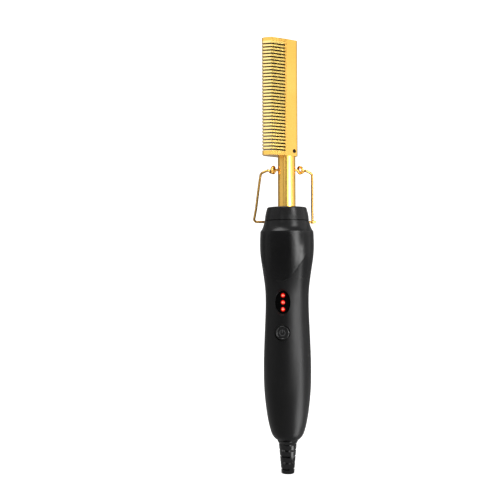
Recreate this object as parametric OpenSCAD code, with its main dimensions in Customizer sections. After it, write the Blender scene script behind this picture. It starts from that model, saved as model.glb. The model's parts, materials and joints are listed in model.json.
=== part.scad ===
// Electric hot comb: a heated comb head on a metal neck, a wire stand that
// swings on the neck, and a two-shell grip with a thumb rest, three indicator
// lamps, a push button and a swivelling cord outlet.
// Millimetres. The tool stands on +Z, the controls face -Y, and the origin is
// the centre of the cord outlet, at the very bottom.

/* [Comb head] */
// Length of the heated comb, along the neck
head_len = 80; // [70:1:90]
// Distance from the neck axis to the tooth tips
tooth_reach = 19.9; // [19:0.1:21]
// Distance from the neck axis to the back of the spine
spine_reach = 6.3; // [6:0.1:7]
// Thickness of the spine
head_t = 12.4; // [12:0.1:14]
// Thickness where the teeth start to sharpen
bevel_t = 10.0; // [8:0.1:11]
// Number of saw cuts between the teeth
slot_count = 33; // [24:1:33]
// Distance from one cut to the next
slot_pitch = 2.25; // [2:0.05:2.4]
// Width of a cut
slot_w = 1.0; // [0.8:0.05:1.2]
// Turn of the comb about the neck, so that its teeth lean to the front
head_turn = 48; // [0:1:55]

/* [Neck and stand] */
// Outer diameter of the neck tube
neck_d = 12.2; // [12:0.1:12.5]
// Bare length of neck between grip and comb
neck_len = 35; // [33:0.1:40]
// Diameter of the stand wire
wire_d = 1.7; // [1.4:0.1:1.8]
// Height of the stand pivot above the collar
pivot_rise = 25.9; // [25:0.1:26.5]
// Turn of the stand about the neck
stand_turn = 21; // [0:1:30]

/* [Grip] */
// Turn of the thumb rest about the grip, towards the comb's teeth
thumb_turn = 5; // [0:1:8]
// Thickness of the shell walls
wall = 2.0; // [1.8:0.1:2.2]
// Half width of the indicator window
window_w = 5.3; // [4.8:0.1:5.4]
// Half height of the indicator window
window_h = 7.8; // [7:0.1:8]
// Spacing of the indicator lamps
lamp_pitch = 4.7; // [4.6:0.1:5]
// Diameter of the hole that the button sits in
button_hole_d = 11; // [10.6:0.1:11.4]
// Travel of the button
button_travel = 0.6; // [0.3:0.1:0.6]

/* [Cord outlet] */
// Diameter of the cord hole
cord_d = 5.0; // [4.6:0.1:5.4]
// Length of the ribbed boot
boot_len = 20; // [18:1:22]

/* [Hidden] */
$fn = 96;
eps = 0.01;

// Heights up the tool.
mouth_z = boot_len + 2.9;          // lower end of the grip shells
joint_z = 173.2;                   // joint between shells and collar
collar_z = 182.4;                  // top of the collar
head_z = collar_z + neck_len;      // underside of the comb
pivot_z = collar_z + pivot_rise;
button_z = 97.1;
window_z = 117.5;
screw_zs = [49.5, 147];            // screws that join the shells
post_zs = [63.5, 132];             // screws that hold the board

// Outline of the grip: [height, radius] stations, joined by a smooth curve.
grip_stations = [
    [22.9, 7.2], [24, 8.8], [26.2, 10.5], [29.5, 11.8], [36, 13.4], [46, 14.95], [58, 16.05],
    [70, 16.3], [83, 16.1], [108, 15.05], [118, 14.85], [127, 15.2], [138, 16.65], [148, 18.15],
    [156, 18.65], [165.6, 18.35]
];
// The flare from the shoulder edge up to the collar joint.
flare = [[166.3, 17.9], [167.3, 17.2], [169, 16.4], [170.8, 15.9], [172.9, 15.5]];

// One span of a smooth curve through four points, at 0 <= t <= 1.
function span(a, b, c, d, t) =
    0.5 * (2 * b + (c - a) * t + (2 * a - 5 * b + 4 * c - d) * t * t
    + (3 * b - a - 3 * c + d) * t * t * t);
// Points on a smooth open curve through all of pts, n to each span.
function smooth(pts, n) = let (last = len(pts) - 1) [
    for (i = [0:last - 1], k = [0:n - 1])
        span(pts[max(i - 1, 0)], pts[i], pts[i + 1], pts[min(i + 2, last)], k / n),
    pts[last]
];
function as_profile(pts, inset = 0) = [for (p = pts) [p.y - inset, p.x]];
grip_curve = smooth(grip_stations, 3);
// Radius of the grip's outline at height z.
function grip_r(z) = lookup(z, grip_curve);

// A solid of revolution from [radius, height] points.
module turned(profile) {
    rotate_extrude() polygon(profile);
}

// A cylinder along Y from the front value to the back value.
module rod_y(r, x, z, y0, y1) {
    translate([x, y0, z]) rotate([-90, 0, 0]) cylinder(r = r, h = y1 - y0);
}

// A box from its low corner to its high corner.
module block(low, high) {
    translate(low) cube(high - low);
}

// An ellipse with half axes a and b, extruded along Y; at y0 it is flare times as large.
module oval_y(a, b, z, y0, y1, flare = 1) {
    translate([0, y1, z]) rotate([90, 0, 0]) linear_extrude(y1 - y0, scale = flare)
        polygon([for (t = [0:7.5:352.5]) [a * cos(t), b * sin(t)]]);
}

// A round wire swept along a list of points, as one closed tube of n sides.
function unit(v) = v / norm(v);
function heading(p, i) = unit(p[min(i + 1, len(p) - 1)] - p[max(i - 1, 0)]);
function carry(u, t) = unit(u - (u * t) * t);
function frames(p, i = 0, u = undef) = i >= len(p) ? [] :
    let (
        t = heading(p, i),
        seed = abs(t.x) > 0.8 ? [0, 1, 0] : [1, 0, 0],
        side = carry(is_undef(u) ? seed : u, t)
    ) concat([[side, cross(t, side)]], frames(p, i + 1, side));
module wire(p, d, n = 8) {
    f = frames(p);
    last = len(p) - 1;
    rings = [for (i = [0:last], k = [0:n - 1])
        p[i] + d / 2 * (cos(360 * k / n) * f[i][0] + sin(360 * k / n) * f[i][1])];
    sides = [for (i = [0:last - 1], k = [0:n - 1]) let (a = i * n, b = (k + 1) % n)
        [a + k, a + b, a + n + b, a + n + k]];
    caps = [[for (k = [n - 1:-1:0]) k], [for (k = [0:n - 1]) last * n + k]];
    polyhedron(rings, [for (face = concat(sides, caps)) [for (i = [len(face) - 1:-1:0]) face[i]]]);
}

// ---------------------------------------------------------------- comb head
spine_fillet = 2.8;
tip_r = 1.3;
bevel_x = -15.7;                   // where the thick part of a tooth ends
slot_end_x = -5.6;                 // closed end of the cuts
slot_end_r = 0.62;
crease_x = -3.9;                   // where the flat flank of the spine starts
first_slot = 3.5;                  // first cut above the underside
corner_r = [1.0, 0.8, 1.6];        // end corners: of the teeth, low spine, top spine
bore_x = 1.4;                      // heater bore, off the neck axis
bore_r = 3.0;
bore_top = head_len - 6;
boss_r = neck_d / 2 - 1;           // spigot that the neck tube is pressed on
boss_len = 6.6;
screw_x = 2.2;
screw_rise = 3.4;
screw_r = 1.4;
screw_seat_y = 2.75;               // flat on the plug that the screw bears on

module head_frame() {
    translate([0, 0, head_z]) rotate([0, 0, head_turn]) children();
}

// Section of the comb: a thick spine, flat flanks, then the sharpened teeth,
// whose bevels run on to the round tip.
module head_section() {
    h = head_t / 2;
    x1 = spine_reach - spine_fillet;
    tip_x = tip_r - tooth_reach;
    bevel = [tip_x - bevel_x, bevel_t / 2];
    slant = atan2(bevel.y, -bevel.x) - asin(tip_r / norm(bevel));
    touch = [tip_x - tip_r * sin(slant), tip_r * cos(slant)];
    polygon([
        [x1, -h], [x1, h], [crease_x, h], [bevel_x, bevel_t / 2],
        touch, [touch.x, -touch.y], [bevel_x, -bevel_t / 2], [crease_x, -h]
    ]);
    translate([x1 - eps, spine_fillet - h]) square([spine_fillet + eps, head_t - 2 * spine_fillet]);
    for (s = [-1, 1]) translate([x1, s * (h - spine_fillet)]) circle(spine_fillet);
    translate([tip_x, 0]) circle(tip_r);
}

// Waste that is cut away to round a corner of the comb's side view, at [x, z].
// out is -1 or 1 for x and for z, towards the outside.
module corner_waste(corner, r, out) {
    centre = corner - r * out;
    far = corner + out;
    difference() {
        block([min(centre.x, far.x), -head_t, min(centre.y, far.y)],
            [max(centre.x, far.x), head_t, max(centre.y, far.y)]);
        rod_y(r, centre.x, centre.y, -2 * head_t, 2 * head_t);
    }
}

module comb_head() {
    color("gold") head_frame() difference() {
        union() {
            linear_extrude(head_len) head_section();
            translate([0, 0, -boss_len]) cylinder(r = boss_r, h = boss_len + 1);
        }
        for (i = [0:slot_count - 1]) translate([0, 0, first_slot + i * slot_pitch]) {
            block([-tooth_reach - 1, -head_t, -slot_w / 2], [slot_end_x, head_t, slot_w / 2]);
            rod_y(slot_end_r, slot_end_x, 0, -head_t, head_t);
        }
        translate([bore_x, 0, -boss_len - 1]) cylinder(r = bore_r, h = boss_len + 1 + bore_top);
        rod_y(screw_r, screw_x, screw_rise, -head_t, 0);
        corner_waste([-tooth_reach, 0], corner_r[0], [-1, -1]);
        corner_waste([-tooth_reach, head_len], corner_r[0], [-1, 1]);
        corner_waste([spine_reach, 0], corner_r[1], [1, -1]);
        corner_waste([spine_reach, head_len], corner_r[2], [1, 1]);
    }
}

// Heater: ceramic stones between two half-round electrodes, in a film sleeve.
film_t = 0.12;
stone_t = 2.1;
stone_len = 20;
stack_low = 7;
stack_high = bore_top - 1.5;

module stack_frame() {
    head_frame() translate([bore_x, 0, 0]) children();
}

module heater_stones() {
    color("dimgray") stack_frame() for (i = [0:2])
        translate([0, 0, stack_low + 2 + i * (stone_len + 1)])
            block([-2.3, -stone_t / 2, 0], [2.3, stone_t / 2, stone_len]);
}

module heater_electrodes() {
    color("silver") stack_frame() difference() {
        translate([0, 0, stack_low]) cylinder(r = bore_r - film_t, h = stack_high - stack_low);
        block([-bore_r, -stone_t / 2, 0], [bore_r, stone_t / 2, head_len]);
    }
}

module heater_film() {
    color("peru") stack_frame() translate([0, 0, stack_low]) difference() {
        cylinder(r = bore_r, h = stack_high - stack_low);
        translate([0, 0, -1]) cylinder(r = bore_r - film_t, h = head_len);
    }
}

// Ceramic plug that the screw pinches; the two leads run through it.
lead_d = 1.5;
lead_y = 1.55;
plug_low = 1.6;
module heater_plug() {
    color("white") stack_frame() difference() {
        translate([0, 0, plug_low]) cylinder(r = bore_r, h = stack_low - plug_low);
        for (s = [-1, 1]) translate([-0.4, s * lead_y, 0]) cylinder(d = lead_d + 0.2, h = stack_low + 1);
        block([-bore_r, -bore_r - 1, plug_low - 1], [bore_r, -screw_seat_y, stack_low + 1]);
    }
}

module heater_screw() {
    color("#1a1a1a") head_frame() difference() {
        rod_y(screw_r, screw_x, screw_rise, 1.2 - head_t / 2, -screw_seat_y);
        rod_y(0.8, screw_x, screw_rise, -head_t / 2, 2.6 - head_t / 2, $fn = 6);
    }
}

// ---------------------------------------------------------------- neck
tube_low = 157.6;
tube_wall = 1.0;
flange_r = 7.8;
bush_low = 159;
bush_r = 9;
bush_top = joint_z + 5.8;
bush_rim_r = 12;
bush_rim_z = [164.6, 167.2];
wire_clear = 0.05;

module neck_tube() {
    color("gold") difference() {
        union() {
            translate([0, 0, tube_low]) cylinder(d = neck_d, h = head_z - tube_low);
            translate([0, 0, tube_low]) cylinder(r = flange_r, h = bush_low - tube_low);
        }
        translate([0, 0, tube_low - 1]) cylinder(r = neck_d / 2 - tube_wall, h = head_z);
        translate([0, 0, pivot_z]) rotate([0, 0, stand_turn]) rotate([0, 90, 0])
            cylinder(r = wire_d / 2 + wire_clear, h = neck_d + 2, center = true);
    }
}

// Heat-resistant bush that carries the neck in the grip.
module neck_bush() {
    color("saddlebrown") difference() {
        union() {
            translate([0, 0, bush_low]) cylinder(r = bush_r, h = bush_top - bush_low);
            translate([0, 0, bush_rim_z[0]])
                cylinder(r = bush_rim_r, h = bush_rim_z[1] - bush_rim_z[0]);
        }
        translate([0, 0, bush_low - 1]) cylinder(d = neck_d, h = bush_top);
    }
}

// Two insulated leads from the heater, down the neck, to the top of the board.
board_y = [-8, -6.4];
board_z = [57, 135.5];
function turn_z(p, a) = [p.x * cos(a) - p.y * sin(a), p.x * sin(a) + p.y * cos(a), p.z];
function lead_route(s) = smooth([
    turn_z([bore_x - 0.4, s * lead_y, head_z + stack_low], head_turn),
    turn_z([bore_x - 0.4, s * lead_y, head_z + 4], head_turn),
    turn_z([bore_x - 0.4, s * lead_y, head_z - 4], head_turn),
    turn_z([0.4, s * 2.5, head_z - 10], head_turn),
    [0, s * 2.9, pivot_z - 4], [0, s * 2.9, 196], [0, s * 2.9, 176],
    [s * 0.8, s * 2.9, 160], [s * 4.3, s * 2 - 1, 152], [s * 5, -2.5, 146],
    [s * 4, -4.8, 138], [s * 4, -5.6, 133], [s * 4, -5.6, 128]
], 3);

fuse_z = [186, 196];
module heater_leads() {
    color("white") for (s = [-1, 1]) difference() {
        wire(lead_route(s), lead_d);
        if (s > 0) block([-3, 0, fuse_z[0]], [3, 5, fuse_z[1]]);
    }
}

// One-shot fuse in line with the live lead.
module thermal_fuse() {
    color("silver") translate([0, 2.9, fuse_z[0]]) cylinder(r = 1.6, h = fuse_z[1] - fuse_z[0]);
}

// ---------------------------------------------------------------- grip shells
joint_gap = 0.3;                   // shadow line under the collar
spigot_r = 12.2;                   // neck of the shells, inside the collar
spigot_top = joint_z + 5.9;
seam_w = 0.24;                     // V line where the shells meet
seam_depth = 0.45;
cavity_z = [31.6, bush_low - 1.4];
pocket_r = 8.1;                    // pocket that holds the swivel flange
pocket_z = [26.4, 29.6];
barrel_neck_r = 5.2;
core_r = 4.2;

// Thumb rest: a raised tongue on the front, bounded by a parabola.
tongue_low = 131.6;
tongue_spread = 14.3;
tongue_profile = [
    [12, 131], [15.3, 131], [17, 133], [17.6, 137], [18.2, 144], [18.55, 152], [18.55, 160], [12, 160]
];
module tongue_outline() {
    reach = 17;
    top = 160;
    polygon(concat(
        [for (x = [-reach:1:reach]) [x, tongue_low + x * x / tongue_spread]],
        [[19, top], [-19, top]]
    ));
}

// Flatter face for the thumb on the tongue, under a lip at the shoulder. Its
// section is a wide arc, rounded at both sides towards a circle just outside
// the grip. The face leans back a little.
rest_top = 165.2;
rest_front = 17.45;                // distance of the face from the grip's axis, at the lip
rest_lean = 2;
rest_r = 60;
rest_side_r = 12;
rest_rim_r = 18.95;
side_far = rest_rim_r - rest_side_r;
side_y = (pow(rest_r - rest_side_r, 2) - pow(rest_r - rest_front, 2) - pow(side_far, 2))
    / (2 * (rest_front - rest_r));
side_at = [sqrt(pow(side_far, 2) - pow(side_y, 2)), side_y];
rest_centre = [0, rest_r - rest_front];
module rest_section() {
    rim = side_at * rest_rim_r / side_far;
    face = rest_centre + (side_at - rest_centre) * rest_r / (rest_r - rest_side_r);
    difference() {
        translate([-rim.x, -40]) square([2 * rim.x, 40 + rim.y]);
        for (s = [-1, 1]) translate([s * side_at.x, side_at.y]) circle(rest_side_r);
        intersection() {
            translate(rest_centre) circle(rest_r, $fn = 360);
            translate([-face.x, -40]) square([2 * face.x, 40]);
        }
    }
}
module thumb_dish() {
    intersection() {
        block([-20, -40, tongue_low - 2], [20, 0, rest_top]);
        translate([0, 0, rest_top]) rotate([rest_lean, 0, 0])
            translate([0, 0, -60]) linear_extrude(80) rest_section();
    }
}

// Outside of the grip, before it is split.
module grip_body() {
    difference() {
        union() {
            turned(concat(
                [[0, mouth_z]], as_profile(grip_curve), as_profile(flare),
                [[spigot_r, joint_z - joint_gap], [spigot_r, spigot_top], [0, spigot_top]]
            ));
            rotate([0, 0, -thumb_turn]) intersection() {
                turned(tongue_profile);
                rotate([90, 0, 0]) linear_extrude(25) tongue_outline();
            }
        }
        rotate([0, 0, -thumb_turn]) thumb_dish();
    }
}

// Everything that the shells are hollowed by.
module grip_hollow() {
    inner = [for (z = [34:6:156]) [grip_r(z) - wall, z]];
    turned(concat(
        [[0, cavity_z[0]], [grip_r(cavity_z[0]) - wall, cavity_z[0]]], inner,
        [[grip_r(156) - wall, cavity_z[1]], [0, cavity_z[1]]]
    ));
    translate([0, 0, mouth_z - 1]) cylinder(r = barrel_neck_r + 0.1, h = pocket_z[0] - mouth_z + 1.5);
    translate([0, 0, pocket_z[0]]) cylinder(r = pocket_r, h = pocket_z[1] - pocket_z[0]);
    translate([0, 0, pocket_z[1] - 0.5]) cylinder(r = core_r + 0.1, h = 4);
    translate([0, 0, cavity_z[1] - 0.5]) cylinder(r = bush_r, h = 30);
    translate([0, 0, bush_rim_z[0]]) cylinder(r = bush_rim_r, h = bush_rim_z[1] - bush_rim_z[0]);
}

// Where the bosses inside the shells end, halfway through the wall.
module boss_limit() {
    turned(concat([[0, 30]], [for (z = [30:6.3:156]) [grip_r(z) - 1, z]], [[0, 156]]));
}

// Fine line round the seam, cut into both shells.
module seam_line() {
    difference() {
        block([-25, -seam_w / 2, mouth_z - 1], [25, seam_w / 2, joint_z - 0.6]);
        turned(concat(
            [[0, mouth_z - 2], [6, mouth_z - 2]], as_profile(grip_curve, seam_depth),
            as_profile(flare, seam_depth), [[0, joint_z]]
        ));
    }
}

boss_r_screw = 3.3;
screw_shank_r = 1.3;
screw_head_r = 2.6;
post_r = 2.6;
board_screw_r = 0.9;
button_ring_r = 7.2;
button_stop_y = -11.9;
window_floor_y = -12.4;
window_bevel_y = -13.5;            // where the bevel of the window's rim starts
window_bevel = 1.18;               // its spread, two millimetres further out

module handle_front() {
    color("#262626") difference() {
        union() {
            intersection() {
                difference() {
                    grip_body();
                    grip_hollow();
                }
                block([-30, -30, 0], [30, 0, 200]);
            }
            intersection() {
                union() {
                    for (z = screw_zs) rod_y(boss_r_screw, 0, z, -20, 0);
                    for (z = post_zs) rod_y(post_r, 0, z, -20, board_y[0]);
                    rod_y(button_ring_r, 0, button_z, -20, button_stop_y);
                    oval_y(window_w + 1.6, window_h + 1.6, window_z, -20, window_floor_y + 1.2);
                }
                boss_limit();
            }
        }
        for (z = screw_zs) rod_y(screw_shank_r, 0, z, -9, 1);
        for (z = post_zs) rod_y(board_screw_r, 0, z, -12, 0);
        rod_y(button_hole_d / 2, 0, button_z, -25, 0);
        oval_y(window_w, window_h, window_z, -25, window_floor_y);
        oval_y(window_w, window_h, window_z, window_bevel_y - 2, window_bevel_y, window_bevel);
        oval_y(window_w - 1.1, window_h - 1.1, window_z, -25, 0);
        seam_line();
    }
}

module handle_back() {
    color("#262626") difference() {
        union() {
            intersection() {
                difference() {
                    grip_body();
                    grip_hollow();
                }
                block([-30, 0, 0], [30, 30, 200]);
            }
            intersection() {
                for (z = screw_zs) rod_y(boss_r_screw + 1, 0, z, 0, 20);
                boss_limit();
            }
        }
        for (z = screw_zs) {
            rod_y(screw_shank_r, 0, z, -1, 20);
            rod_y(screw_head_r + 0.3, 0, z, 7, 25);
        }
        seam_line();
    }
}

module handle_screws() {
    color("dimgray") for (z = screw_zs) difference() {
        union() {
            rod_y(screw_shank_r, 0, z, -8, 7);
            rod_y(screw_head_r, 0, z, 7, 9);
        }
        for (a = [0, 90]) translate([0, 0, z]) rotate([0, a, 0])
            block([-1.6, 8.1, -0.35], [1.6, 10, 0.35]);
    }
}

// Collar that closes the top of the grip round the neck.
module collar_cap() {
    low = joint_z;
    round_r = 1.1;
    top_r = 13.75;
    edge = [for (a = [0:15:90]) [top_r - round_r + round_r * cos(a), collar_z - round_r + round_r * sin(a)]];
    color("#242424") difference() {
        turned(concat(
            [[0, low], [15, low], [15.25, low + 0.25], [14.9, low + 3.4], [14.35, low + 6]],
            edge, [[0, collar_z]]
        ));
        translate([0, 0, low - 1]) cylinder(r = spigot_r, h = spigot_top - low + 1);
        translate([0, 0, low]) cylinder(r = neck_d / 2 + 0.15, h = 20);
    }
}

// ---------------------------------------------------------------- controls
lens_t = 0.9;
lamp_r = 1.5;
lamp_tip_y = -13.9;

module lamp_places() {
    for (i = [-1, 0, 1]) translate([0, 0, window_z + i * lamp_pitch]) children();
}

module indicator_lens() {
    color("#0a0a0a") difference() {
        oval_y(window_w - 0.12, window_h - 0.12, window_z, window_floor_y - lens_t, window_floor_y);
        lamp_places() rod_y(lamp_r + 0.06, 0, 0, -20, 0);
    }
}

module indicator_lamps() {
    color("red") lamp_places() {
        rod_y(lamp_r, 0, 0, lamp_tip_y + lamp_r, board_y[0]);
        translate([0, lamp_tip_y + lamp_r, 0]) sphere(lamp_r);
        rod_y(lamp_r + 0.4, 0, 0, board_y[0] - 1, board_y[0]);
    }
}

button_gap = 0.8;                  // dark groove round the button
button_foot_y = 13.4;              // floor of that groove
button_crest_y = 15.35;            // top of the rounded rim
button_dish_y = 14.85;             // floor of the sunk middle
button_flange_t = 0.8;
rim_r = 0.58;
icon_r = 1.9;
icon_w = 0.5;
icon_rise = 0.3;

// A ring along Y between two radii, and the bar of the power sign, as one relief.
module power_sign(y0, y1) {
    difference() {
        rod_y(icon_r + icon_w / 2, 0, button_z, y0, y1);
        rod_y(icon_r - icon_w / 2, 0, button_z, y0 - 1, y1 + 1);
        block([-0.8, y0 - 1, button_z], [0.8, y1 + 1, button_z + 4]);
    }
    block([-icon_w / 2, y0, button_z + 0.2], [icon_w / 2, y1, button_z + 2.3]);
}

// Distances in front of the grip's axis are positive in the profile.
module power_button() {
    face = -button_stop_y - 0.05;
    outer = button_hole_d / 2 - button_gap;
    crest = outer - rim_r;
    rim = [for (a = [0:22.5:180])
        [crest + rim_r * cos(a), button_crest_y - rim_r + rim_r * sin(a)]];
    color("#1e1e1e") {
        translate([0, 0, button_z]) rotate([90, 0, 0]) turned(concat(
            [[0, face - button_flange_t], [button_ring_r - 0.9, face - button_flange_t],
                [button_ring_r - 0.9, face], [button_hole_d / 2 - 0.1, face],
                [button_hole_d / 2 - 0.1, button_foot_y], [outer, button_foot_y]],
            rim, [[crest - rim_r, button_dish_y], [0, button_dish_y]]
        ));
        power_sign(-button_dish_y - icon_rise, -button_dish_y + 0.2);
    }
}

press_spare = 0.25;                // room left behind the button at the end of its travel
switch_front_y = button_stop_y + 0.05 + button_flange_t + button_travel + press_spare;
plunger_r = 1.5;
module switch_plunger() {
    back = button_stop_y + 0.05 + button_flange_t;
    color("ivory") rod_y(plunger_r, 0, button_z, back, -9.5);
}

module switch_body() {
    color("#303030") difference() {
        block([-3, switch_front_y, button_z - 3], [3, board_y[0], button_z + 3]);
        rod_y(plunger_r + 0.08, 0, button_z, -12, -8.8);
    }
}

// ---------------------------------------------------------------- electronics
module circuit_board() {
    color("darkgreen") difference() {
        block([-6, board_y[0], board_z[0]], [6, board_y[1], board_z[1]]);
        for (z = post_zs) rod_y(board_screw_r + 0.1, 0, z, -9, -5);
    }
}

module control_chip() {
    color("#151515") {
        block([-2.5, board_y[1], 103], [2.5, board_y[1] + 1.5, 109]);
    }
}

module triac() {
    color("#202020") block([-5, board_y[1], 84], [5, board_y[1] + 4.4, 98]);
}

module capacitor() {
    color("goldenrod") block([-5, board_y[1], 69], [5, board_y[1] + 9, 81]);
}

module board_screws() {
    color("silver") for (z = post_zs) {
        rod_y(board_screw_r, 0, z, -11.5, board_y[1]);
        rod_y(1.8, 0, z, board_y[1], board_y[1] + 1.3);
    }
}

// ---------------------------------------------------------------- cord outlet
ring_r = 4.35;
ring_in_r = 3.6;
ring_zs = [35.2, 39.6];
ring_h = 2.4;
core_top = 43;
core_bore_r = 2.0;
seat_len = 2.5;                    // the boot's spigot in the barrel
seat_spare = 4.5;                  // room past it, where the cord's cores spread
seat_r = 4.0;

// Turning barrel: visible collar, neck, flange, and the core with its contacts.
module swivel_barrel() {
    color("#161616") difference() {
        turned([
            [0, boot_len], [5.75, boot_len], [6.15, boot_len + 0.4], [6.7, boot_len + 1.5],
            [7.1, mouth_z - 0.6], [6.9, mouth_z - 0.2], [barrel_neck_r, mouth_z - 0.2],
            [barrel_neck_r, pocket_z[0] + 0.15], [pocket_r - 0.1, pocket_z[0] + 0.15],
            [pocket_r - 0.1, pocket_z[1] - 0.15], [core_r, pocket_z[1] - 0.15],
            [core_r, 32.4], [ring_in_r, 32.4], [ring_in_r, core_top], [0, core_top]
        ]);
        translate([0, 0, boot_len - 1])
            cylinder(r = seat_r, h = seat_len + seat_spare + 1);
        translate([0, 0, boot_len]) cylinder(r = core_bore_r, h = 30);
    }
}

module slip_rings() {
    color("goldenrod") for (z = ring_zs) translate([0, 0, z]) difference() {
        cylinder(r = ring_r, h = ring_h);
        translate([0, 0, -1]) cylinder(r = ring_in_r, h = ring_h + 2);
    }
}

// Fixed insulator on the bulkhead, with the two brushes that ride the rings.
block_low = cavity_z[0];
block_high = 33.4;
leaf_t = 0.4;
leaf_x = 7.0;
module brush_block() {
    color("saddlebrown") difference() {
        translate([0, 0, block_low]) cylinder(r = 10, h = block_high - block_low);
        translate([0, 0, block_low - 1]) cylinder(r = core_r + 0.5, h = 5);
        for (s = [-1, 1]) block([s * leaf_x - leaf_t / 2, -1.6, block_low - 1],
            [s * leaf_x + leaf_t / 2, 1.6, block_high + 1]);
    }
}

module brush_contacts() {
    color("goldenrod") for (i = [0, 1]) rotate([0, 0, 180 * i]) {
        touch = ring_zs[i] + ring_h / 2;
        tip = ring_r + 0.1;
        rotate([90, 0, 0]) translate([0, 0, -1.5]) linear_extrude(3) polygon([
            [leaf_x - leaf_t / 2, block_low], [leaf_x + leaf_t / 2, block_low],
            [leaf_x + leaf_t / 2, touch - 1.2], [tip + leaf_t, touch - 0.4],
            [tip + leaf_t, touch + 0.4], [leaf_x + leaf_t / 2, touch + 1.4],
            [leaf_x + leaf_t / 2, 45], [leaf_x - leaf_t / 2, 45],
            [leaf_x - leaf_t / 2, touch + 1.5], [tip, touch + 0.5],
            [tip, touch - 0.5], [leaf_x - leaf_t / 2, touch - 1.3]
        ]);
    }
}

function mains_route(s) = smooth([
    [s * (leaf_x + 1.0), 0, 43.8], [s * (leaf_x + 1.0), -0.4, 47], [s * 7.6, -2.4, 52],
    [s * 5.4, -4.6, 57], [s * 4, -5.6, 61], [s * 4, -5.6, 65]
], 3);
module mains_leads() {
    color("royalblue") for (s = [-1, 1]) wire(mains_route(s), 1.5);
}

// Ribbed boot: a tapered sleeve cut into open rings, each held by two bridges.
boot_top_r = 6.1;
boot_end_r = 4.4;
boot_core_top_r = 3.6;
boot_core_end_r = 3.1;
boot_cut_zs = [3.2, 7.5, 11.8, 16];
boot_cut_h = 1.2;
bridge_w = 3.0;
module cord_boot() {
    color("#141414") difference() {
        union() {
            turned([[0, 0], [boot_end_r - 0.3, 0], [boot_end_r, 0.3],
                [boot_top_r, boot_len - 0.5], [boot_top_r - 0.3, boot_len], [0, boot_len]]);
            translate([0, 0, boot_len - 1]) cylinder(r = seat_r, h = seat_len + 1);
        }
        for (i = [0:3]) difference() {
            translate([0, 0, boot_cut_zs[i] - boot_cut_h / 2]) cylinder(r = 9, h = boot_cut_h);
            turned([[0, -1], [boot_core_end_r, -1], [boot_core_top_r, boot_len + 1], [0, boot_len + 1]]);
            rotate([0, 0, i % 2 == 0 ? 45 : -45])
                block([-bridge_w / 2, -10, -1], [bridge_w / 2, 10, boot_len + 1]);
        }
        translate([0, 0, -1]) cylinder(d = cord_d, h = boot_len + seat_len + 2);
    }
}

// ---------------------------------------------------------------- stand
bar_z = 173.2;                     // height of the bar when the stand is folded
rest_gap = 0.3;                    // between the folded bar and the grip
bar_y = lookup(bar_z, flare) + wire_d / 2 + rest_gap;
bar_drop = pivot_z - bar_z;
fold = atan(bar_y / bar_drop);
arm_len = norm([bar_y, bar_drop]);
wire_r = wire_d / 2 - 0.01;        // swept wire, just inside the round pivot stretch
pin_x = neck_d / 2 + 0.9;          // end of the straight pivot stretch
corner_x = 21;
corner_bend = 2.2;
bar_end = 2.6;                     // bar past the right arm

// The stand's own frame: pivot along X, arms down -Z. One side runs from the
// pivot through a turn and a fifth of coil, whose axis leans forward, to the
// shoulder and down the arm.
coil_r = 2.15;
coil_pitch = 1.8;
coil_lean = 45;
coil_end = 430;
coil_start = [pin_x + 1.9, -0.6, 0];
function coil_point(a) = coil_start
    + coil_pitch * a / 360 * [cos(coil_lean), sin(coil_lean), 0]
    + coil_r * [sin(a) * sin(coil_lean), -sin(a) * cos(coil_lean), -cos(a)];
side_route = concat(
    [[pin_x - 0.8, 0, 0], [pin_x - 0.1, 0, 0]],
    smooth([[pin_x + 0.15, 0, 0], [pin_x + 0.95, -0.15, -0.8], coil_point(0)], 3),
    [for (a = [20:20:coil_end]) coil_point(a)],
    smooth([
        coil_point(coil_end) + [0.75, -0.15, 0.55], [14, -0.85, -0.5], [16.4, -0.7, -1.7],
        [17.7, -0.5, -2.9], [18.15, -0.4, -5.2], [18.9, -0.2, -14], [20, -0.1, -29]
    ], 3)
);
function flipped(p) = [for (q = p) [-q.x, q.y, q.z]];
right_route = concat(side_route, [[corner_x, 0, -arm_len]]);
left_route = concat(
    flipped(side_route),
    [for (a = [180:18:270]) [
        corner_bend - corner_x + corner_bend * cos(a), 0,
        corner_bend - arm_len + corner_bend * sin(a)
    ]],
    [[corner_x, 0, -arm_len]]
);

module stand_frame() {
    translate([0, 0, pivot_z]) rotate([0, 0, stand_turn]) rotate([fold, 0, 0]) children();
}

module stand_wire() {
    color("gold") stand_frame() {
        rotate([0, 90, 0]) cylinder(d = wire_d, h = 2 * pin_x, center = true);
        wire(left_route, 2 * wire_r, 10);
        wire(right_route, 2 * wire_r, 10);
        // bead where the right arm is welded to the bar, with the bar's rounded end
        translate([corner_x, 0, -arm_len]) rotate([0, 90, 0]) turned([
            [0, -1.3], [0.9, -1.1], [1.25, -0.3], [1.25, 0.4], [0.95, 1.4], [0.85, bar_end - 0.5],
            [0.55, bar_end - 0.1], [0, bar_end]
        ]);
    }
}

comb_head();
heater_stones();
heater_electrodes();
heater_film();
heater_plug();
heater_screw();
neck_tube();
neck_bush();
heater_leads();
thermal_fuse();
collar_cap();
handle_front();
handle_back();
handle_screws();
indicator_lens();
indicator_lamps();
power_button();
switch_plunger();
switch_body();
circuit_board();
control_chip();
triac();
capacitor();
board_screws();
brush_block();
brush_contacts();
mains_leads();
swivel_barrel();
slip_rings();
cord_boot();
stand_wire();
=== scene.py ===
import json
import math

import bmesh
import bpy
from mathutils import Matrix, Vector


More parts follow.
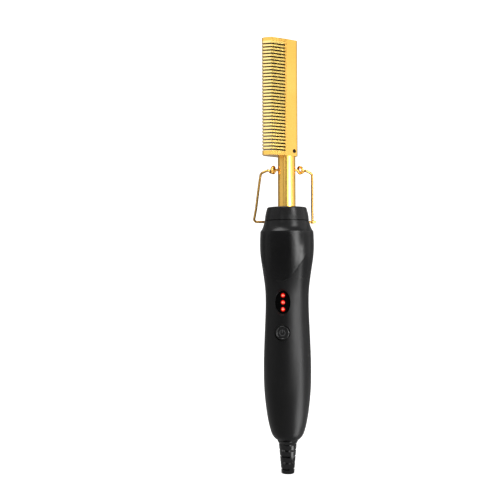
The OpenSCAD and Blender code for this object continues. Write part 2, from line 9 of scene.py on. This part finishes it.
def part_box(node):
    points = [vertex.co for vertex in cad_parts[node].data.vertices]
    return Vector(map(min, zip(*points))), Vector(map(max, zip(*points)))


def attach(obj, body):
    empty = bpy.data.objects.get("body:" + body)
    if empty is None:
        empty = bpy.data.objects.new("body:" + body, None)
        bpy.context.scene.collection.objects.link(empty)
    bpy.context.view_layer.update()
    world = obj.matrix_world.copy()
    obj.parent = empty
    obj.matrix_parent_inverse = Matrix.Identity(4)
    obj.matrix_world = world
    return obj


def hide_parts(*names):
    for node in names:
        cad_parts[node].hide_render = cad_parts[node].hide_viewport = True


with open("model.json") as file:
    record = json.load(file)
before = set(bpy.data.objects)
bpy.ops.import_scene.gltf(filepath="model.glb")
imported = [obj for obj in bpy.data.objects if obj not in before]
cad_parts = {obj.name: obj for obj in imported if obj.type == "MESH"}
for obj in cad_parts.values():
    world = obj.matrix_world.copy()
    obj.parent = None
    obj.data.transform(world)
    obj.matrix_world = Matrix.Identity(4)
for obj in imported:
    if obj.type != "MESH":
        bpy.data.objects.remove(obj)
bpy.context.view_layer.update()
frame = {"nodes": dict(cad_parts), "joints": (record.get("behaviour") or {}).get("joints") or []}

cad = frame["nodes"]
MM = 0.001

# ------------------------------------------------------------------ Camera
# A normal lens about half a metre off, a little below the middle of the tool and
# round to its right, so that the comb's flank and the controls both show.
VIEW_ROUND = math.radians(15.3)
VIEW_DISTANCE = 0.55
VIEW_WIDTH = 0.345                 # what the frame spans at the tool
TOOL_OFFSET = 0.0255               # tool right of the frame's middle
VIEW_HEIGHT = 0.143
VIEW_TILT = math.radians(1.05)
VIEW_ROLL = math.radians(-0.2)


def placed(name, data):
    """A new object in the scene."""
    made = bpy.data.objects.new(name, data)
    bpy.context.scene.collection.objects.link(made)
    return made


toward = Vector((math.sin(VIEW_ROUND), -math.cos(VIEW_ROUND), 0))
rightward = Vector((math.cos(VIEW_ROUND), math.sin(VIEW_ROUND), 0))
camera = placed("camera", bpy.data.cameras.new("camera"))
camera.data.lens = camera.data.sensor_width * VIEW_DISTANCE / VIEW_WIDTH
camera.location = toward * VIEW_DISTANCE - rightward * TOOL_OFFSET + Vector((0, 0, VIEW_HEIGHT))
level = (-toward).to_track_quat("-Z", "Y").to_matrix()
aim = level @ Matrix.Rotation(VIEW_TILT, 3, "X") @ Matrix.Rotation(VIEW_ROLL, 3, "Z")
camera.rotation_mode = "QUATERNION"
camera.rotation_quaternion = aim.to_quaternion()
bpy.context.scene.camera = camera
bpy.context.scene.view_settings.view_transform = "Standard"


# ------------------------------------------------------------------ Studio
# A seamless white sweep under and behind the tool, and soft boxes round it. Those
# on the right are as far off and as high as their parts of the tool mirror, and
# draw one highlight down it. The comb's flank and teeth have dimmer ones.
class Term:
    """A node socket that can be used in arithmetic; each operation adds a Math node."""

    def __init__(self, graph, socket):
        self.graph = graph
        self.socket = socket

    def _math(self, operation, *values):
        return self.graph.node("ShaderNodeMath", {"operation": operation}, dict(enumerate(values)))

    def __add__(self, other):
        return self._math("ADD", self, other)

    def __radd__(self, other):
        return self._math("ADD", other, self)

    def __sub__(self, other):
        return self._math("SUBTRACT", self, other)

    def __rsub__(self, other):
        return self._math("SUBTRACT", other, self)

    def __mul__(self, other):
        return self._math("MULTIPLY", self, other)

    def __rmul__(self, other):
        return self._math("MULTIPLY", other, self)

    def __truediv__(self, other):
        return self._math("DIVIDE", self, other)

    def __pow__(self, other):
        return self._math("POWER", self, other)

    def __abs__(self):
        return self._math("ABSOLUTE", self)

    def beside(self, name):
        """Another output of the same node."""
        return Term(self.graph, self.socket.node.outputs[name])


class Graph:
    """A node tree whose nodes are written as expressions on Terms."""

    def __init__(self, tree):
        self.tree = tree

    def node(self, kind, settings=(), sockets=(), out=0):
        """A node: its settings first, then the values and links of its sockets."""
        made = self.tree.nodes.new(kind)
        for name, value in dict(settings).items():
            if name == "stops":
                for stop, (place, colour) in enumerate(value):
                    ramp = made.color_ramp.elements
                    element = ramp[stop] if stop < len(ramp) else ramp.new(place)
                    element.position = place
                    element.color = (*colour, 1)
            else:
                setattr(made, name, value)
        for name, value in dict(sockets).items():
            if isinstance(value, Term):
                self.tree.links.new(value.socket, made.inputs[name])
            else:
                made.inputs[name].default_value = value
        return Term(self, made.outputs[out])


class Finish(Graph):
    """A material with its Principled shader, and the textures that the finishes share."""

    def __init__(self, name):
        self.material = bpy.data.materials.new(name)
        self.material.use_nodes = True
        super().__init__(self.material.node_tree)
        self.shader = self.tree.nodes["Principled BSDF"]

    def set(self, **sockets):
        """Base_Color=... and so on: a Term is linked, and anything else is set on the socket."""
        for name, value in sockets.items():
            socket = self.shader.inputs[name.replace("_", " ")]
            if isinstance(value, Term):
                self.tree.links.new(value.socket, socket)
            elif socket.type == "RGBA":
                socket.default_value = (*value, 1)
            else:
                socket.default_value = value

    def place(self):
        """Object coordinates, in metres from the origin."""
        return self.node("ShaderNodeTexCoord", out="Object")

    def axes(self, place):
        """The three coordinates of a vector, as Terms."""
        split = self.node("ShaderNodeSeparateXYZ", (), {0: place}, out="X")
        return [split.beside(axis) for axis in "XYZ"]

    def noise(self, place, scale, stretch=(1, 1, 1), detail=3, roughness=0.55):
        """Cloudy noise from 0 to 1, mostly between 0.3 and 0.7."""
        mapped = self.node("ShaderNodeMapping", (), {"Vector": place, "Scale": stretch})
        sockets = {"Vector": mapped, "Scale": scale, "Detail": detail, "Roughness": roughness}
        return self.node("ShaderNodeTexNoise", (), sockets)

    def span(self, value, low, high, to_low=0, to_high=1):
        """value between low and high, remapped and clamped."""
        sockets = {0: value, 1: low, 2: high, 3: to_low, 4: to_high}
        return self.node("ShaderNodeMapRange", {"clamp": True}, sockets)

    def spread(self, noise, to_low=0, to_high=1):
        """The usual range of a noise, remapped."""
        return self.span(noise, 0.3, 0.7, to_low, to_high)

    def mix(self, amount, first, second):
        """Colours blended by amount."""
        first, second = [c if isinstance(c, Term) else (*c, 1) for c in (first, second)]
        return self.node("ShaderNodeMix", {"data_type": "RGBA"}, {0: amount, 6: first, 7: second}, out=2)

    def relief(self, height, distance):
        """A bump from a height Term, with its full depth in metres."""
        self.set(Normal=self.node("ShaderNodeBump", (), {"Height": height, "Distance": distance}))

    def put_on(self, *names):
        """Gives CAD nodes this finish."""
        for name in names:
            slots = cad[name].data.materials
            slots.clear()
            slots.append(self.material)


SWEEP_HALF = 2.6
SWEEP_FRONT = -2.2
SWEEP_BEND_AT = 1.0
SWEEP_BEND_R = 0.8
SWEEP_TOP = 2.6
SWEEP_ALBEDO = 0.45
LIFT_NEAR = 0.7                    # the paper's own glow for the camera, where the shadow falls
LIFT_FROM = 0.1
LIFT_FULL = 0.5
MIRRORED_BACK = 0.1                # what polished parts see of the paper's glow, behind the tool

arc = [
    (SWEEP_BEND_AT + SWEEP_BEND_R * math.sin(a), SWEEP_BEND_R * (1 - math.cos(a)))
    for a in [math.radians(d) for d in range(0, 91, 6)]
]
profile = [(SWEEP_FRONT, 0), *arc, (SWEEP_BEND_AT + SWEEP_BEND_R, SWEEP_TOP)]
turn = Matrix.Rotation(VIEW_ROUND, 3, "Z")
verts = [turn @ Vector((x, y, z)) for y, z in profile for x in (-SWEEP_HALF, SWEEP_HALF)]
faces = [(2 * i, 2 * i + 1, 2 * i + 3, 2 * i + 2) for i in range(len(profile) - 1)]
sweep_mesh = bpy.data.meshes.new("sweep")
sweep_mesh.from_pydata(verts, [], faces)
sweep_mesh.shade_smooth()
sweep = placed("sweep", sweep_mesh)

paper = Finish("white_paper")
x, y, z = paper.axes(paper.place())
away = (x * x + y * y + z * z) ** 0.5
seen = paper.node("ShaderNodeLightPath", out="Is Camera Ray")
mirrored = seen.beside("Is Glossy Ray")
lift = paper.span(away, LIFT_FROM, LIFT_FULL, LIFT_NEAR, 1)
behind = paper.span(away, SWEEP_BEND_AT, SWEEP_BEND_AT + SWEEP_BEND_R, 0, MIRRORED_BACK)
paper.set(
    Base_Color=(SWEEP_ALBEDO, SWEEP_ALBEDO, SWEEP_ALBEDO),
    Roughness=1.0,
    Specular_IOR_Level=0.0,
    Emission_Color=(1, 1, 1),
    Emission_Strength=seen * lift + mirrored * behind,
)
sweep_mesh.materials.append(paper.material)

WORLD_LEVEL = 0.3
world = bpy.data.worlds.new("studio")
world.use_nodes = True
air = Graph(world.node_tree)
seen = air.node("ShaderNodeLightPath", out="Is Camera Ray")
glow = world.node_tree.nodes["Background"].inputs
glow["Color"].default_value = (1, 1, 1, 1)
world.node_tree.links.new((WORLD_LEVEL + seen * (1 - WORLD_LEVEL)).socket, glow["Strength"])
bpy.context.scene.world = world


def soft_box(name, round_deg, foot, head, wide, low, high, radiance):
    """A soft box that faces the tool, round_deg right of the camera. Its lower edge is
    foot away from the tool's axis and low above the floor, and its upper edge is head
    away and high up, all in metres. A mirror shows it at the level of radiance."""
    bearing = VIEW_ROUND + math.radians(round_deg)
    out = Vector((math.sin(bearing), -math.cos(bearing), 0))
    up = Vector((0, 0, 1))
    rise = out * (head - foot) + up * (high - low)
    light = placed(name, bpy.data.lights.new(name, "AREA"))
    light.data.shape = "RECTANGLE"
    light.data.size = wide
    light.data.size_y = rise.length
    light.data.energy = math.pi * wide * rise.length * radiance
    light.location = out * (foot + head) / 2 + up * (low + high) / 2
    across = up.cross(out)
    axes = Matrix((across, rise.normalized(), across.cross(rise).normalized())).transposed()
    light.rotation_mode = "QUATERNION"
    light.rotation_quaternion = axes.to_quaternion()
    light.visible_camera = False


soft_box("boot_light", 61, 0.03, 0.055, 0.02, 0.001, 0.009, 8)
soft_box("low_light", 61, 0.055, 0.24, 0.05, 0.008, 0.067, 8)
soft_box("grip_light", 63, 0.8, 0.8, 0.19, 0.02, 0.13, 28)
soft_box("rest_light", 50, 0.42, 0.42, 0.1, 0.115, 0.16, 16)
soft_box("neck_light", 39, 1.0, 1.0, 0.36, 0.03, 0.36, 12)
soft_box("glow_light", 27, 1.0, 1.0, 0.6, 0.06, 0.5, 4)
soft_box("flare_light", 39, 1.0, 1.0, 0.36, 0.6, 1.1, 14)
soft_box("comb_light", 58, 1.0, 1.0, 0.4, 0.36, 0.62, 0.33)
soft_box("top_light", -65, 0.6, 0.05, 0.55, 1.0, 1.15, 8)
soft_box("right_card", 90, 0.9, 0.9, 0.9, 0.02, 1.1, 0.75)
soft_box("left_card", -78, 0.9, 0.9, 1.0, 0.02, 1.1, 0.5)
soft_box("tooth_light", -28, 1.0, 1.0, 0.3, 0.3, 0.66, 1.2)

# ------------------------------------------------------------------ Comb head
# Sawn from a solid brass bar, its teeth ground to a bevel, then gold plated with
# a satin face. The teeth are painted paler than the spine, palest on the bevel, as
# a painted highlight, and the saw cuts are painted with shade: gold at their mouths
# and dark brown where they are deep.
HEAD_TURN = math.radians(48)
CUT_MOUTH = -19.5 * MM             # along the comb's depth: 0 on the neck's axis, less at the tips
CUT_DEEP = -12 * MM
TOOTH_ROOT = -5 * MM
TOOTH_BEVEL = -15.7 * MM
TOOTH_HIGHLIGHT_FADE = 2 * MM
BEVEL_FADE = 0.6 * MM
CUTS_LOW = 220 * MM
CUTS_HIGH = 295 * MM
CUTS_FADE = 0.2 * MM
CUT_WALL = (0.6, 0.9)              # the normal's upright part, from other faces to a cut's walls
# Painted shade in the saw cuts: gold at their mouths, dark brown deep in.
CUT_SHADE_MOUTH = (0.85, 0.5, 0.12)
CUT_SHADE_DEEP = (0.02, 0.003, 0.001)
# Painted highlight: paler gold on the teeth, palest on their bevel.
TOOTH_HIGHLIGHT_GOLD = (0.89, 0.64, 0.18)
BEVEL_HIGHLIGHT_GOLD = (0.97, 0.76, 0.30)

comb_gold = Finish("comb_gold")
place = comb_gold.place()
x, y, z = comb_gold.axes(place)
along = x * math.cos(HEAD_TURN) + y * math.sin(HEAD_TURN)
cuts_middle = (CUTS_LOW + CUTS_HIGH) / 2
cuts_half = (CUTS_HIGH - CUTS_LOW) / 2
toothed = comb_gold.span(abs(z - cuts_middle), cuts_half - CUTS_FADE, cuts_half, 1, 0)
upward = comb_gold.axes(comb_gold.node("ShaderNodeTexCoord", out="Normal"))[2]
# The walls of the saw cuts get the painted shade, darker the deeper they run.
in_cut = comb_gold.span(abs(upward), *CUT_WALL) * toothed
# Painted highlight on the teeth from their roots out, and more on the bevel.
tooth_highlight = comb_gold.span(along, TOOTH_ROOT, TOOTH_ROOT - TOOTH_HIGHLIGHT_FADE) * toothed
bevel_highlight = comb_gold.span(along, TOOTH_BEVEL, TOOTH_BEVEL - BEVEL_FADE) * toothed
drag = comb_gold.noise(place, 900, (1, 1, 0.03))
cloud = comb_gold.noise(place, 45)
plate = comb_gold.mix(comb_gold.spread(cloud), (0.90, 0.52, 0.105), (0.96, 0.58, 0.135))
plate = comb_gold.mix(tooth_highlight, plate, TOOTH_HIGHLIGHT_GOLD)
plate = comb_gold.mix(bevel_highlight, plate, BEVEL_HIGHLIGHT_GOLD)
cut = comb_gold.mix(comb_gold.span(along, CUT_MOUTH, CUT_DEEP), CUT_SHADE_MOUTH, CUT_SHADE_DEEP)
comb_gold.set(
    Base_Color=comb_gold.mix(in_cut, plate, cut),
    Metallic=1.0,
    Roughness=comb_gold.spread(drag, 0.17, 0.22),
)
comb_gold.relief(drag, 0.004 * MM)
comb_gold.put_on("comb_head")

# ------------------------------------------------------------------ Screws
# Blackened steel: the grub screw in the comb's flank, with its hexagon socket,
# and the two cross-head screws that join the shells from behind.
black_steel = Finish("black_steel")
oxide = black_steel.noise(black_steel.place(), 2500)
black_steel.set(
    Base_Color=black_steel.mix(oxide, (0.006, 0.006, 0.007), (0.02, 0.019, 0.018)),
    Metallic=0.6,
    Roughness=black_steel.spread(oxide, 0.35, 0.5),
)
black_steel.put_on("heater_screw", "handle_screws")

# ------------------------------------------------------------------ Neck tube
# Drawn tube, plated and buffed brighter than the comb, with faint draw lines
# and a little straw-coloured heat tint towards the comb.
HEAT_LOW = 200 * MM
HEAT_HIGH = 217 * MM
HEAT_TINT = 0.6

tube_gold = Finish("tube_gold")
place = tube_gold.place()
drawn = tube_gold.noise(place, 1400, (1, 1, 0.01))
heat = tube_gold.span(tube_gold.axes(place)[2], HEAT_LOW, HEAT_HIGH, 0, HEAT_TINT)
tube_gold.set(
    Base_Color=tube_gold.mix(heat, (0.92, 0.56, 0.125), (0.93, 0.52, 0.10)),
    Metallic=1.0,
    Roughness=tube_gold.spread(drawn, 0.25, 0.3),
)
tube_gold.relief(drawn, 0.002 * MM)
tube_gold.put_on("neck_tube")

# ------------------------------------------------------------------ Wire stand
# One gold wire: through the neck, a turn and a fifth of coil on each side, a
# shoulder and an arm, and a bar that rests behind the collar. The right arm is
# welded to the bar, whose end stands out a little.
WIRE_R = 0.85 * MM
WIRE_SIDES = 20
PIN_X = 7.0 * MM                   # end of the stretch that turns in the neck
BAR_BACK = 16.65 * MM              # where the bar rests, behind and below the pivot
BAR_DROP = 35.1 * MM
CORNER_X = 21 * MM
CORNER_BEND = 2.2 * MM
BAR_END = 2.6 * MM                 # how far the bar stands out past the right arm
BAR_INSET = 0.4 * MM               # the swept wire ends this far inside the bar's rounded end
COIL_R = 2.15 * MM
COIL_PITCH = 1.8 * MM
COIL_LEAN = math.radians(45)
COIL_END = 430                     # degrees, from where the coil starts
COIL_STEP = 10
COIL_START = Vector((8.9, -0.6, 0)) * MM
ARM_LEN = math.hypot(BAR_BACK, BAR_DROP)


def smooth(points, count):
    """Points on an open curve through all of points, count to each span."""
    made = []
    last = len(points) - 1
    for i in range(last):
        a, b, c, d = (points[max(0, min(last, i + k))] for k in (-1, 0, 1, 2))
        for t in (k / count for k in range(count)):
            bend = (2 * a - 5 * b + 4 * c - d) * t * t + (3 * b - a - 3 * c + d) * t ** 3
            made.append(0.5 * (2 * b + (c - a) * t + bend))
    return [*made, points[last]]


def coil_point(degrees):
    """The wire's middle in the right coil, degrees round from the coil's start."""
    a = math.radians(degrees)
    lean = Vector((math.cos(COIL_LEAN), math.sin(COIL_LEAN), 0))
    across = Vector((math.sin(COIL_LEAN), -math.cos(COIL_LEAN), 0))
    round_axis = across * math.sin(a) - Vector((0, 0, math.cos(a)))
    return COIL_START + lean * COIL_PITCH * degrees / 360 + round_axis * COIL_R


def mm(*values):
    """A vector given in millimetres."""
    return Vector(values) * MM


# The right half, out, back and up from the pivot; the left half is its mirror image.
lead_in = [Vector((PIN_X, 0, 0)) + step for step in (mm(0.15, 0, 0), mm(0.95, -0.15, -0.8))]
shoulder = [
    coil_point(COIL_END) + mm(0.75, -0.15, 0.55), mm(14, -0.85, -0.5), mm(16.4, -0.7, -1.7),
    mm(17.7, -0.5, -2.9), mm(18.15, -0.4, -5.2), mm(18.9, -0.2, -14), mm(20, -0.1, -29),
]
side = smooth([*lead_in, coil_point(0)], count=6)
side += [coil_point(a) for a in range(COIL_STEP, COIL_END + 1, COIL_STEP)]
side += smooth(shoulder, count=8)
corner = [
    Vector((CORNER_BEND - CORNER_X, 0, CORNER_BEND - ARM_LEN))
    + Vector((math.cos(a), 0, math.sin(a))) * CORNER_BEND
    for a in [math.radians(d) for d in range(180, 271, 9)]
]
left = [Vector((-p.x, p.y, p.z)) for p in side] + corner
weld = Vector((CORNER_X, 0, -ARM_LEN))
bar = [weld + Vector((BAR_END - BAR_INSET, 0, 0))]
route = [*bar, *reversed(left), *side, weld]

swing = next(j for j in frame["joints"] if j["name"] == "stand_swing")
pivot_axis = Vector(swing["axis"])
stand_turn = Matrix.Rotation(math.atan2(pivot_axis.y, pivot_axis.x), 4, "Z")
fold = Matrix.Rotation(math.atan2(BAR_BACK, BAR_DROP), 4, "X")
stand_place = Matrix.Translation(Vector(swing["pos_m"])) @ stand_turn @ fold

wire_gold = Finish("wire_gold")
drawn = wire_gold.noise(wire_gold.place(), 700)
wire_gold.set(
    Base_Color=wire_gold.mix(wire_gold.spread(drawn), (0.56, 0.30, 0.06), (0.76, 0.46, 0.12)),
    Metallic=1.0,
    Roughness=wire_gold.spread(drawn, 0.2, 0.32),
)
wire_gold.relief(drawn, 0.01 * MM)

tube = Graph(bpy.data.node_groups.new("wire_sweep", "GeometryNodeTree"))
sockets = tube.tree.interface
given = {
    name: sockets.new_socket(name, in_out="INPUT", socket_type="NodeSocket" + kind)
    for name, kind in (("Route", "Geometry"), ("Radius", "Float"), ("Finish", "Material"))
}
sockets.new_socket("Wire", in_out="OUTPUT", socket_type="NodeSocketGeometry")
route_in = tube.node("NodeGroupInput", out="Route")
radius_in, finish_in = route_in.beside("Radius"), route_in.beside("Finish")
curve = tube.node("GeometryNodeMeshToCurve", (), {"Mesh": route_in}, out="Curve")
ring = tube.node("GeometryNodeCurvePrimitiveCircle", (), {"Resolution": WIRE_SIDES, "Radius": radius_in})
skin = tube.node("GeometryNodeCurveToMesh", (), {"Curve": curve, "Profile Curve": ring, "Fill Caps": True})
skin = tube.node("GeometryNodeSetShadeSmooth", (), {"Geometry": skin})
skin = tube.node("GeometryNodeRealizeInstances", (), {"Geometry": skin})
skin = tube.node("GeometryNodeSetMaterial", (), {"Geometry": skin, "Material": finish_in})
result = tube.tree.nodes.new("NodeGroupOutput")
tube.tree.links.new(skin.socket, result.inputs["Wire"])

route_mesh = bpy.data.meshes.new("stand")
route_mesh.from_pydata([stand_place @ p for p in route], [(i, i + 1) for i in range(len(route) - 1)], [])
stand = placed("stand", route_mesh)
sweeper = stand.modifiers.new("wire_sweep", "NODES")
sweeper.node_group = tube.tree
sweeper[given["Radius"].identifier] = WIRE_R
sweeper[given["Finish"].identifier] = wire_gold.material
stand_skin = bpy.data.meshes.new_from_object(stand.evaluated_get(bpy.context.evaluated_depsgraph_get()))
stand.modifiers.clear()
stand.data = stand_skin
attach(stand, "stand")
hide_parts("stand_wire")

# The weld bead round the bar at the right arm, and the bar's rounded end, as one
# turned skin: [radius, distance past the arm] in millimetres.
BAR_TIP = BAR_END / MM
BEAD = [
    (0, -1.35), (0.88, -1.3), (1.08, -0.9), (1.24, -0.4), (1.28, 0.1), (1.2, 0.6), (1.04, 1.1),
    (0.9, 1.5), (0.86, BAR_TIP - 0.5), (0.72, BAR_TIP - 0.2), (0.4, BAR_TIP - 0.03), (0, BAR_TIP),
]
BEAD_SIDES = 24
verts = []
faces = []
for radius, past in BEAD:
    for k in range(BEAD_SIDES):
        a = 2 * math.pi * k / BEAD_SIDES
        verts.append(stand_place @ (weld + mm(past, radius * math.cos(a), radius * math.sin(a))))
for row in range(len(BEAD) - 1):
    for k in range(BEAD_SIDES):
        a, b = row * BEAD_SIDES + k, row * BEAD_SIDES + (k + 1) % BEAD_SIDES
        faces.append((a, b, b + BEAD_SIDES, a + BEAD_SIDES))
faces.append(tuple(reversed(range(BEAD_SIDES))))
faces.append(tuple(range(len(verts) - BEAD_SIDES, len(verts))))
bead_mesh = bpy.data.meshes.new("stand_bead")
bead_mesh.from_pydata(verts, [], faces)
bead_mesh.materials.append(wire_gold.material)
bead_mesh.shade_smooth()
bead = placed("stand_bead", bead_mesh)
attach(bead, "stand")

# ------------------------------------------------------------------ Grip shells and collar
# Two injection-moulded shells and a collar, in black heat-proof plastic with a
# fine sparked grain, a little smoother where a hand rubs it and at the thumb rest.
# The lip and the collar are painted a little greyer, as a painted highlight where
# their upper faces catch the light.
REST_LOW = 120 * MM
REST_HIGH = 140 * MM
REST_FRONT = -6 * MM
REST_SMOOTHER = 0.13
LIP_LOW = 163 * MM
LIP_HIGH = 166 * MM
MERGE_WITHIN = 0.001 * MM

grip_satin = Finish("grip_satin")
place = grip_satin.place()
grain = grip_satin.noise(place, 3800, detail=2)
wear = grip_satin.noise(place, 28)
x, y, z = grip_satin.axes(place)
rest = grip_satin.span(z, REST_LOW, REST_HIGH) * grip_satin.span(y, REST_FRONT, 0, 1, 0)
black = grip_satin.mix(grip_satin.spread(wear), (0.0015, 0.0015, 0.0016), (0.003, 0.003, 0.0032))
# Painted highlight: from the lip up, over the collar, the black is painted a lighter grey.
grip_satin.set(
    Base_Color=grip_satin.mix(grip_satin.span(z, LIP_LOW, LIP_HIGH), black, (0.007, 0.007, 0.0072)),
    Roughness=grip_satin.spread(wear, 0.33, 0.4) - rest * REST_SMOOTHER,
    Specular_IOR_Level=0.18,
)
grip_satin.relief(grain, 0.025 * MM)
grip_satin.put_on("handle_back", "collar_cap")


def merged_copy(node):
    """A CAD node's mesh with its loose triangles joined, to be worked on."""
    copy = bmesh.new()
    copy.from_mesh(cad[node].data)
    bmesh.ops.remove_doubles(copy, verts=copy.verts, dist=MERGE_WITHIN)
    return copy


def blended(name, copy, finish, under):
    """An object of a merged copy, smooth over every edge that turns by less than under."""
    copy.verts.index_update()
    points = [vert.co.copy() for vert in copy.verts]
    corners = [[vert.index for vert in face.verts] for face in copy.faces]
    copy.free()
    mesh = bpy.data.meshes.new(name)
    mesh.from_pydata(points, [], corners)
    mesh.materials.append(finish.material)
    mesh.shade_smooth()
    mesh.set_sharp_from_angle(angle=under)
    return placed(name, mesh)


# The front shell, with the round edges of its thumb rest blended and the end of
# the screw post behind the face dressed flush with it.
FACE_TURN = math.radians(-5)
FACE_LEAN = math.radians(2)
FACE_TOP = 165.2 * MM
FACE_R = 60 * MM
FACE_FRONT = 17.45 * MM
POST_SPAN = 4.5 * MM
POST_BELOW = (13 * MM, 23 * MM)    # how far below the face's top the post meets it
REST_BLEND = math.radians(22)

face_height = Matrix.Translation((0, 0, FACE_TOP))
face_place = Matrix.Rotation(FACE_TURN, 4, "Z") @ face_height @ Matrix.Rotation(FACE_LEAN, 4, "X")
shell = merged_copy("handle_front")
for vert in shell.verts:
    spot = face_place.inverted() @ vert.co
    if abs(spot.x) < POST_SPAN and POST_BELOW[0] < -spot.z < POST_BELOW[1]:
        spot.y = max(spot.y, FACE_R - FACE_FRONT - math.sqrt(FACE_R ** 2 - spot.x ** 2))
        vert.co = face_place @ spot
front_shell = blended("front_shell", shell, grip_satin, REST_BLEND)
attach(front_shell, "grip")
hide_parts("handle_front")

# ------------------------------------------------------------------ Button
# A separate cap, moulded in a smoother black plastic and held by its flange behind
# the front shell. Its rounded rim is blended all round, and the top of the raised
# power sign is a paler grey.
BUTTON_Z = 97.1 * MM
SIGN_OUTER = (2.3 * MM, 2.6 * MM)  # the paler patch fades out over this, round the button's axis
SIGN_TOP = (-15.08 * MM, -14.95 * MM)
RIM_BLEND = math.radians(40)

button_black = Finish("button_black")
place = button_black.place()
rub = button_black.noise(place, 420)
x, y, z = button_black.axes(place)
z = z - BUTTON_Z
in_sign = button_black.span((x * x + z * z) ** 0.5, *SIGN_OUTER, 1, 0)
sign = in_sign * button_black.span(y, *SIGN_TOP, 1, 0)
moulded = button_black.mix(rub, (0.001, 0.001, 0.0011), (0.002, 0.002, 0.0021))
button_black.set(
    Base_Color=button_black.mix(sign, moulded, (0.035, 0.035, 0.036)),
    Roughness=button_black.spread(rub, 0.2, 0.28),
    Specular_IOR_Level=0.4,
)
button_cap = blended("button_cap", merged_copy("power_button"), button_black, RIM_BLEND)
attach(button_cap, "button")
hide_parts("power_button")

# ------------------------------------------------------------------ Window
# A smoked oval lens, set in a recess of the front shell. Three red lamps stand on
# the board and reach through its holes. They are lit, and hottest in the middle.
lens_black = Finish("lens_black")
smudge = lens_black.noise(lens_black.place(), 300)
lens_black.set(
    Base_Color=lens_black.mix(smudge, (0.0004, 0.0004, 0.0004), (0.0008, 0.0008, 0.0009)),
    Roughness=lens_black.spread(smudge, 0.06, 0.12),
    Specular_IOR_Level=0.06,
)
lens_black.put_on("indicator_lens")

LAMP_PITCH = 4.7 * MM
LAMP_LOOK_R = 1.6 * MM
LAMP_GLOW = [
    (0.0, (1.0, 0.72, 0.5)), (0.25, (1.0, 0.3, 0.12)), (0.5, (0.9, 0.02, 0.01)), (1.0, (0.3, 0.0, 0.0)),
]
lamp_low, lamp_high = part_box("indicator_lamps")
first_lamp = (lamp_low.z + lamp_high.z) / 2 - LAMP_PITCH
lamp_red = Finish("lamp_red")
x, y, z = lamp_red.axes(lamp_red.place())
off = lamp_red.node("ShaderNodeMath", {"operation": "PINGPONG"}, {0: z - first_lamp, 1: LAMP_PITCH / 2})
away = (x * x + off * off) ** 0.5
glow = lamp_red.node("ShaderNodeValToRGB", {"stops": LAMP_GLOW}, {0: away / LAMP_LOOK_R})
lamp_red.set(Base_Color=(0.3, 0.0, 0.0), Roughness=0.2, Emission_Color=glow, Emission_Strength=1.0)
lamp_red.put_on("indicator_lamps")

# ------------------------------------------------------------------ Cord outlet
# The barrel's flange turns in a pocket between the shells. The boot, plugged into
# the barrel, is softer rubber with a dull shine.
boot_rubber = Finish("boot_rubber")
scuff = boot_rubber.noise(boot_rubber.place(), 160)
boot_rubber.set(
    Base_Color=boot_rubber.mix(scuff, (0.001, 0.001, 0.0011), (0.002, 0.002, 0.0021)),
    Roughness=boot_rubber.spread(scuff, 0.12, 0.22),
    Specular_IOR_Level=0.3,
)
boot_rubber.put_on("cord_boot", "swivel_barrel")


# ------------------------------------------------------------------ Heater
# Inside the spine: grey ceramic stones between aluminium electrodes, in a sleeve
# of amber film, over a white ceramic plug that the grub screw pinches.
def mottled(name, first, second, scale, smoothest, roughest, **constants):
    """A finish whose colour and gloss both vary with one noise."""
    finish = Finish(name)
    patch = finish.noise(finish.place(), scale)
    finish.set(
        Base_Color=finish.mix(finish.spread(patch), first, second),
        Roughness=finish.spread(patch, smoothest, roughest),
        **constants,
    )
    return finish


mottled("ceramic_stone", (0.045, 0.045, 0.05), (0.07, 0.07, 0.072), 1500, 0.6, 0.75).put_on("heater_stones")
plain_metal = mottled("plain_metal", (0.50, 0.50, 0.51), (0.62, 0.62, 0.63), 600, 0.28, 0.42, Metallic=1.0)
plain_metal.put_on("heater_electrodes", "thermal_fuse", "board_screws")
mottled("amber_film", (0.42, 0.14, 0.008), (0.50, 0.19, 0.015), 200, 0.15, 0.25).put_on("heater_film")
mottled("white_ceramic", (0.72, 0.70, 0.64), (0.80, 0.78, 0.73), 900, 0.5, 0.65).put_on("heater_plug")

# ------------------------------------------------------------------ Leads
# Silicone sleeves over the cores, from the heater to the board and from the
# brushes to the board.
lead_sleeve = mottled("lead_sleeve", (0.66, 0.66, 0.63), (0.74, 0.74, 0.71), 350, 0.45, 0.55)
lead_sleeve.put_on("heater_leads", "mains_leads")

# ------------------------------------------------------------------ Bush and brush block
# The bush carries the hot neck between the shells, and the block holds the brushes
# beside the slip rings. Both are moulded in brown phenolic resin with a cloudy fill.
brown_resin = mottled("brown_resin", (0.022, 0.008, 0.004), (0.045, 0.018, 0.009), 400, 0.35, 0.5)
brown_resin.put_on("neck_bush", "brush_block")

# ------------------------------------------------------------------ Board
# A green lacquered board, screwed to two posts in the front shell, with its chip,
# triac, film capacitor and push switch soldered on.
mottled("board_green", (0.004, 0.045, 0.014), (0.006, 0.075, 0.024), 900, 0.25, 0.4).put_on("circuit_board")
chip_black = mottled("chip_black", (0.006, 0.006, 0.006), (0.012, 0.012, 0.012), 2200, 0.45, 0.6)
chip_black.put_on("control_chip", "triac", "switch_body")
mottled("capacitor_yellow", (0.62, 0.35, 0.012), (0.72, 0.43, 0.02), 260, 0.25, 0.35).put_on("capacitor")
mottled("switch_white", (0.62, 0.60, 0.50), (0.70, 0.68, 0.58), 700, 0.4, 0.5).put_on("switch_plunger")

# ------------------------------------------------------------------ Slip rings and brushes
# Two rings on the barrel's turning core and the spring leaves that press on them,
# in bare brass, polished in bands where the leaves ride.
contact_brass = Finish("contact_brass")
bands = contact_brass.noise(contact_brass.place(), 900, (0.02, 0.02, 1))
contact_brass.set(
    Base_Color=contact_brass.mix(bands, (0.48, 0.25, 0.05), (0.66, 0.40, 0.10)),
    Metallic=1.0,
    Roughness=contact_brass.spread(bands, 0.18, 0.4),
)
contact_brass.put_on("slip_rings", "brush_contacts")
